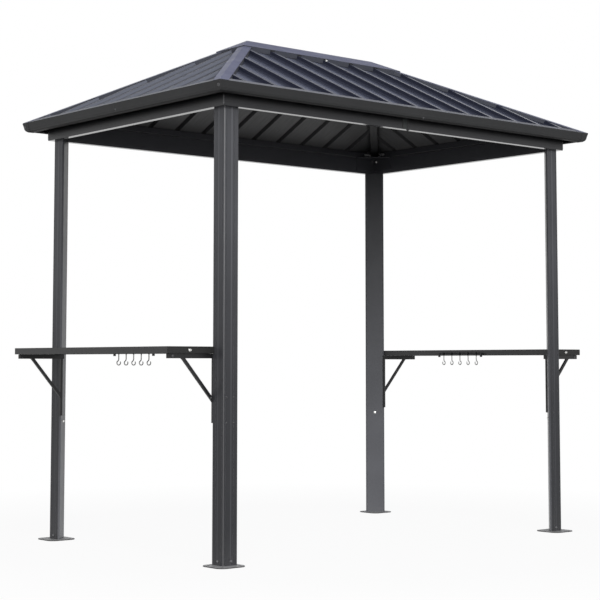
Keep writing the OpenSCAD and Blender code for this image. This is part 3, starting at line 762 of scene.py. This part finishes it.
def fascia_rivets():
    """Rivets beside the fascia's middle joints and on the corner covers."""
    beside, cover_inset, sunk = 0.012, 0.014, 0.0004
    long_z, short_z, cover_z = FASCIA_HEAD - 0.0381, FASCIA_HEAD - 0.0281, FASCIA_HEAD - 0.0201
    bm = bmesh.new()
    for sy in ENDS:
        deep, normal = on_fascia(long_z)
        spot = (beside, sy * (roof_y - deep - sunk), long_z)
        round_screw(bm, spot, (0, sy * normal.x, normal.y), **JOINT_RIVET)
    for sx in SIDES:
        deep, normal = on_fascia(short_z)
        spot = (sx * (roof_x - deep - sunk), -beside, short_z)
        round_screw(bm, spot, (sx * normal.x, 0, normal.y), **JOINT_RIVET)
    for sx, sy in CORNERS:
        deep, normal = on_fascia(cover_z, COVER_T)
        spot = (sx * (roof_x - deep - sunk), sy * (roof_y - cover_inset), cover_z)
        round_screw(bm, spot, (sx * normal.x, 0, normal.y), **COVER_RIVET)
    add_piece("fascia_rivets", bm, PAINTED_BOLT, smooth=True)


def ridge_notch_shades():
    """Black foam in the notches of the ridge cap, where the ribs run under it: a dark piece that paints
    the shade in the notch gaps.
    """
    width, height = RIB_CREST + 0.006, RIDGE_CAP_V - CREST_V - 0.0012
    foam = {"size": (width, height), "corner": 0.002, "depth": 0.005}
    set_in = 0.001
    bm = bmesh.new()
    for rib in range(-2, 3):
        for sy in ENDS:
            spot, normal = on_long_slope(sy, rib * RIB_PITCH, eave_y - RIDGE_CAP_W, CREST_V + height / 2)
            rim_plate(bm, spot + Vector((0, -sy * set_in, 0)), (-sy, 0, 0), normal, **foam)
    add_piece("ridge_notch_shades", bm, RUBBER)


def ridge_screws():
    """Zinc bolts just below the ridge cap, on the middle rib."""
    x, below_cap = -0.008, 0.016
    bm = bmesh.new()
    for sy in ENDS:
        spot, normal = on_long_slope(sy, x, eave_y - RIDGE_CAP_W - below_cap, CREST_V)
        hex_bolt(bm, spot, normal, **RIDGE_BOLT)
    add_piece("ridge_screws", bm, ZINC)


foot_bolts()
post_bolts()
zinc_bolts()
end_caps()
bracket_welds()
eave_closers()
rafter_clips()
sleeve_seals()
beam_sleeves()
corner_beads()
fascia_rivets()
ridge_notch_shades()
ridge_screws()


# Floor, light and camera

def floor_material():
    """White paper that keeps the object's shadow. Its bounce light is that of a grey ground."""
    near, far, near_share = 1.6, 3.4, 0.93      # metres from the middle, and the glow's share there
    m = Mat("floor", (0.9, 0.9, 0.9), 0.9, specular=0.0)
    path = m.node("ShaderNodeLightPath")
    mirrored = m.math("MAXIMUM", path.outputs["Is Glossy Ray"], path.outputs["Is Transmission Ray"])
    seen = m.math("MAXIMUM", path.outputs["Is Camera Ray"], mirrored)
    m.color(m.mix(seen, (0.25, 0.25, 0.25), (0.92, 0.92, 0.92)))
    reach = m.node("ShaderNodeVectorMath", operation="LENGTH")
    m.link(m.coords, reach.inputs[0])
    share = m.ranged(reach.outputs["Value"], near, far, near_share, 1.0)
    glow = m.node("ShaderNodeEmission")
    glow.inputs["Strength"].default_value = 1.0
    blend = m.node("ShaderNodeMixShader")
    m.link(m.math("MULTIPLY", seen, share), blend.inputs["Fac"])
    m.link(m.shader.outputs["BSDF"], blend.inputs[1])
    m.link(glow.outputs["Emission"], blend.inputs[2])
    m.link(blend.outputs["Shader"], m.tree.nodes["Material Output"].inputs["Surface"])
    return m.mat


FLOOR_HALF, FLOOR_GAP = 60.0, 0.0004
bm = bmesh.new()
bmesh.ops.create_grid(bm, x_segments=1, y_segments=1, size=FLOOR_HALF)
mesh = bpy.data.meshes.new("floor")
bm.to_mesh(mesh)
bm.free()
mesh.materials.append(floor_material())
floor = bpy.data.objects.new("floor", mesh)
floor.location.z = -FLOOR_GAP
scene.collection.objects.link(floor)


def studio_world():
    """White from below up to a little over the horizon, dim blue overhead."""
    white_to, dim_from = 0.36, 0.52     # heights on the unit sphere of directions
    world = bpy.data.worlds.new("studio")
    world.use_nodes = True
    tree = world.node_tree
    back = tree.nodes["Background"]
    where = tree.nodes.new("ShaderNodeTexCoord")
    split = tree.nodes.new("ShaderNodeSeparateXYZ")
    ramp = tree.nodes.new("ShaderNodeValToRGB")
    tree.links.new(where.outputs["Generated"], split.inputs["Vector"])
    tree.links.new(split.outputs["Z"], ramp.inputs["Fac"])
    tree.links.new(ramp.outputs["Color"], back.inputs["Color"])
    white, dim = ramp.color_ramp.elements
    white.position, white.color = white_to, (1.0, 1.0, 1.0, 1.0)
    dim.position, dim.color = dim_from, (0.08, 0.083, 0.11, 1.0)
    back.inputs["Strength"].default_value = 1.0
    return world


scene.world = studio_world()

LAMP_PLACE, LAMP_TARGET = (-6.3, -9.6, 5.0), (0, 0, 1.0)
LAMP_SIZE, LAMP_WATTS = 10.0, 1150
lamp_data = bpy.data.lights.new("front", "AREA")
lamp_data.shape = "DISK"
lamp_data.size = LAMP_SIZE
lamp_data.energy = LAMP_WATTS
lamp = bpy.data.objects.new("front", lamp_data)
lamp.location = LAMP_PLACE
lamp.rotation_euler = (Vector(LAMP_TARGET) - Vector(LAMP_PLACE)).to_track_quat("-Z", "Y").to_euler()
scene.collection.objects.link(lamp)

# The camera as fitted to the photo, in metres, radians and shares of the picture's width
CAMERA_PLACE = (-5.1958, -6.0328, 0.8709)
YAW, PITCH = 0.7062, 0.0801
SENSOR_MM, LENS_MM = 36.0, 93.33
SHIFT_X, SHIFT_Y = -0.00635, -0.1043
CLIP_END = 200.0
cam_data = bpy.data.cameras.new("camera")
cam_data.sensor_width = SENSOR_MM
cam_data.lens = LENS_MM
cam_data.shift_x = SHIFT_X
cam_data.shift_y = SHIFT_Y
cam_data.clip_end = CLIP_END
camera = bpy.data.objects.new("camera", cam_data)
camera.location = CAMERA_PLACE
ahead = Vector((math.cos(PITCH) * math.sin(YAW), math.cos(PITCH) * math.cos(YAW), math.sin(PITCH)))
camera.rotation_euler = ahead.to_track_quat("-Z", "Y").to_euler()
scene.collection.objects.link(camera)
scene.camera = camera
